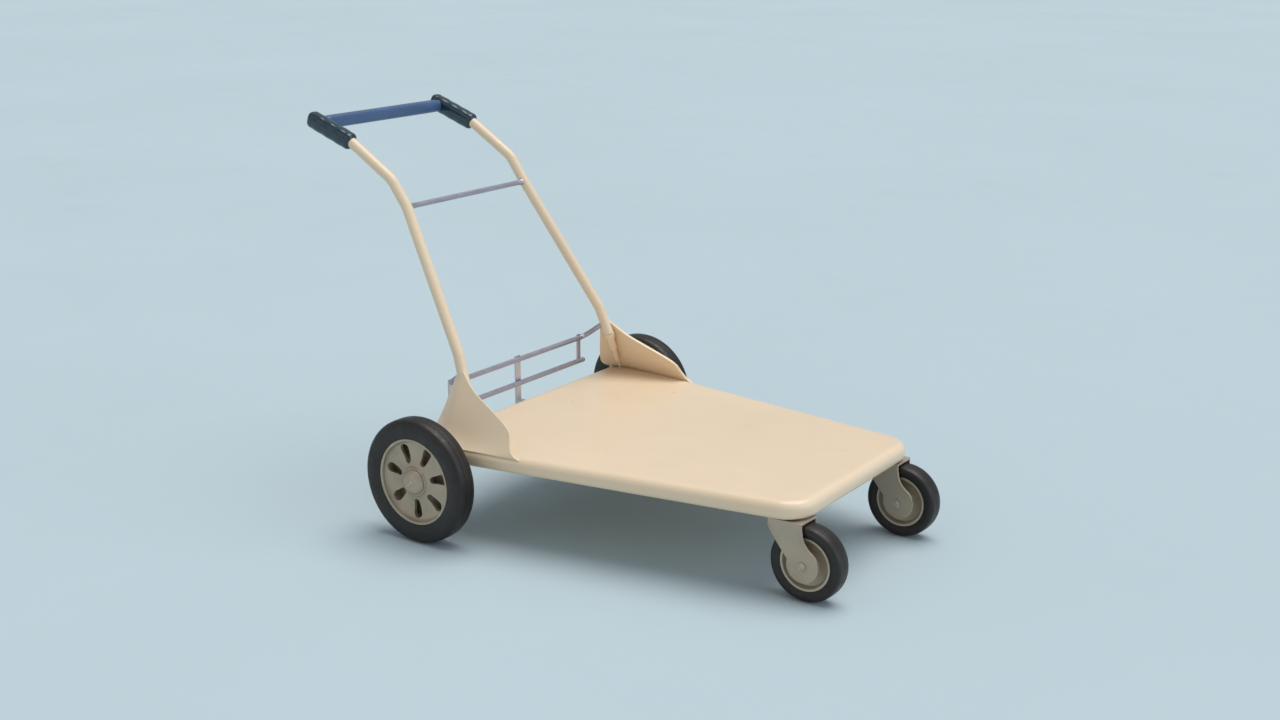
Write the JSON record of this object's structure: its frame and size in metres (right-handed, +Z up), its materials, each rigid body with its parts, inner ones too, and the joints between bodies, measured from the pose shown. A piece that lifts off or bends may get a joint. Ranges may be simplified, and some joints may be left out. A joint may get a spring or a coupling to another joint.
{
  "type": "airport luggage trolley",
  "caption": "Flat-deck luggage trolley with a tapered pressed deck, side wings, bent push handle, large rear wheels and swivel casters at the front.",
  "frame": {"origin": "on the ground, under the middle of the trolley's length and width", "axes": "+X towards the casters, +Y to the left, +Z up"},
  "size_m": [1.4322, 0.9126, 0.8835],
  "materials": {
    "cream_paint": "gloss cream stove enamel",
    "grey_metal": "dull zinc-plated rod and bar",
    "cast_metal": "satin cast wheels and forks",
    "steel": "bright turned steel",
    "tyre": "smooth solid rubber with a slight sheen",
    "grip_plastic": "glossy dark teal moulding",
    "handle_paint": "satin blue coating"
  },
  "bodies": {
    "frame": {"deck": "cream_paint", "front_crossmember": "grey_metal", "stringer_left": "grey_metal", "stringer_right": "grey_metal", "rear_axle": "steel", "axle_bracket_left": "grey_metal", "axle_bracket_right": "grey_metal", "rear_axle_nut_left": "steel", "rear_axle_nut_right": "steel", "caster_boss_left": "grey_metal", "swivel_bearing_left": "steel", "kingpin_left": "steel", "kingpin_nut_left": "steel", "caster_boss_right": "grey_metal", "swivel_bearing_right": "steel", "kingpin_right": "steel", "kingpin_nut_right": "steel", "wing_left": "cream_paint", "upright_left": "cream_paint", "wing_right": "cream_paint", "upright_right": "cream_paint", "cross_bar": "grey_metal", "rack_upper_rail": "grey_metal", "rack_lower_rail": "grey_metal", "rack_centre_post": "grey_metal", "rack_end_post_left": "grey_metal", "rack_end_post_right": "grey_metal", "grip_left": "grip_plastic", "grip_right": "grip_plastic", "handle_bar": "handle_paint", "handle_core": "steel"},
    "rear_wheel_left": {"rear_rim_left": "cast_metal", "rear_tyre_left": "tyre", "rear_bearing_inner_left": "steel", "rear_bearing_outer_left": "steel", "rear_hub_cap_left": "cast_metal"},
    "caster_left": {"caster_fork_left": "cast_metal", "caster_bolt_left": "cast_metal", "caster_nut_left": "steel"},
    "caster_wheel_left": {"caster_rim_left": "cast_metal", "caster_tyre_left": "tyre", "caster_bearing_inner_left": "steel", "caster_bearing_outer_left": "steel"},
    "rear_wheel_right": {"rear_rim_right": "cast_metal", "rear_tyre_right": "tyre", "rear_bearing_inner_right": "steel", "rear_bearing_outer_right": "steel", "rear_hub_cap_right": "cast_metal"},
    "caster_right": {"caster_fork_right": "cast_metal", "caster_bolt_right": "cast_metal", "caster_nut_right": "steel"},
    "caster_wheel_right": {"caster_rim_right": "cast_metal", "caster_tyre_right": "tyre", "caster_bearing_inner_right": "steel", "caster_bearing_outer_right": "steel"}
  },
  "joints": [
    {"name": "rear_wheel_spin_left", "type": "hinge", "parent": "frame", "child": "rear_wheel_left", "pos_m": [-0.21785, 0.422, 0.14], "axis": [0, 1, 0], "continuous": true},
    {"name": "caster_swivel_left", "type": "hinge", "parent": "frame", "child": "caster_left", "pos_m": [0.58815, 0.2142, 0.17], "axis": [0, 0, 1], "continuous": true},
    {"name": "caster_wheel_spin_left", "type": "hinge", "parent": "caster_left", "child": "caster_wheel_left", "pos_m": [0.63515, 0.2142, 0.081], "axis": [0, 1, 0], "continuous": true},
    {"name": "rear_wheel_spin_right", "type": "hinge", "parent": "frame", "child": "rear_wheel_right", "pos_m": [-0.21785, -0.422, 0.14], "axis": [0, 1, 0], "continuous": true},
    {"name": "caster_swivel_right", "type": "hinge", "parent": "frame", "child": "caster_right", "pos_m": [0.58815, -0.2142, 0.17], "axis": [0, 0, 1], "continuous": true},
    {"name": "caster_wheel_spin_right", "type": "hinge", "parent": "caster_right", "child": "caster_wheel_right", "pos_m": [0.63515, -0.2142, 0.081], "axis": [0, 1, 0], "continuous": true}
  ]
}
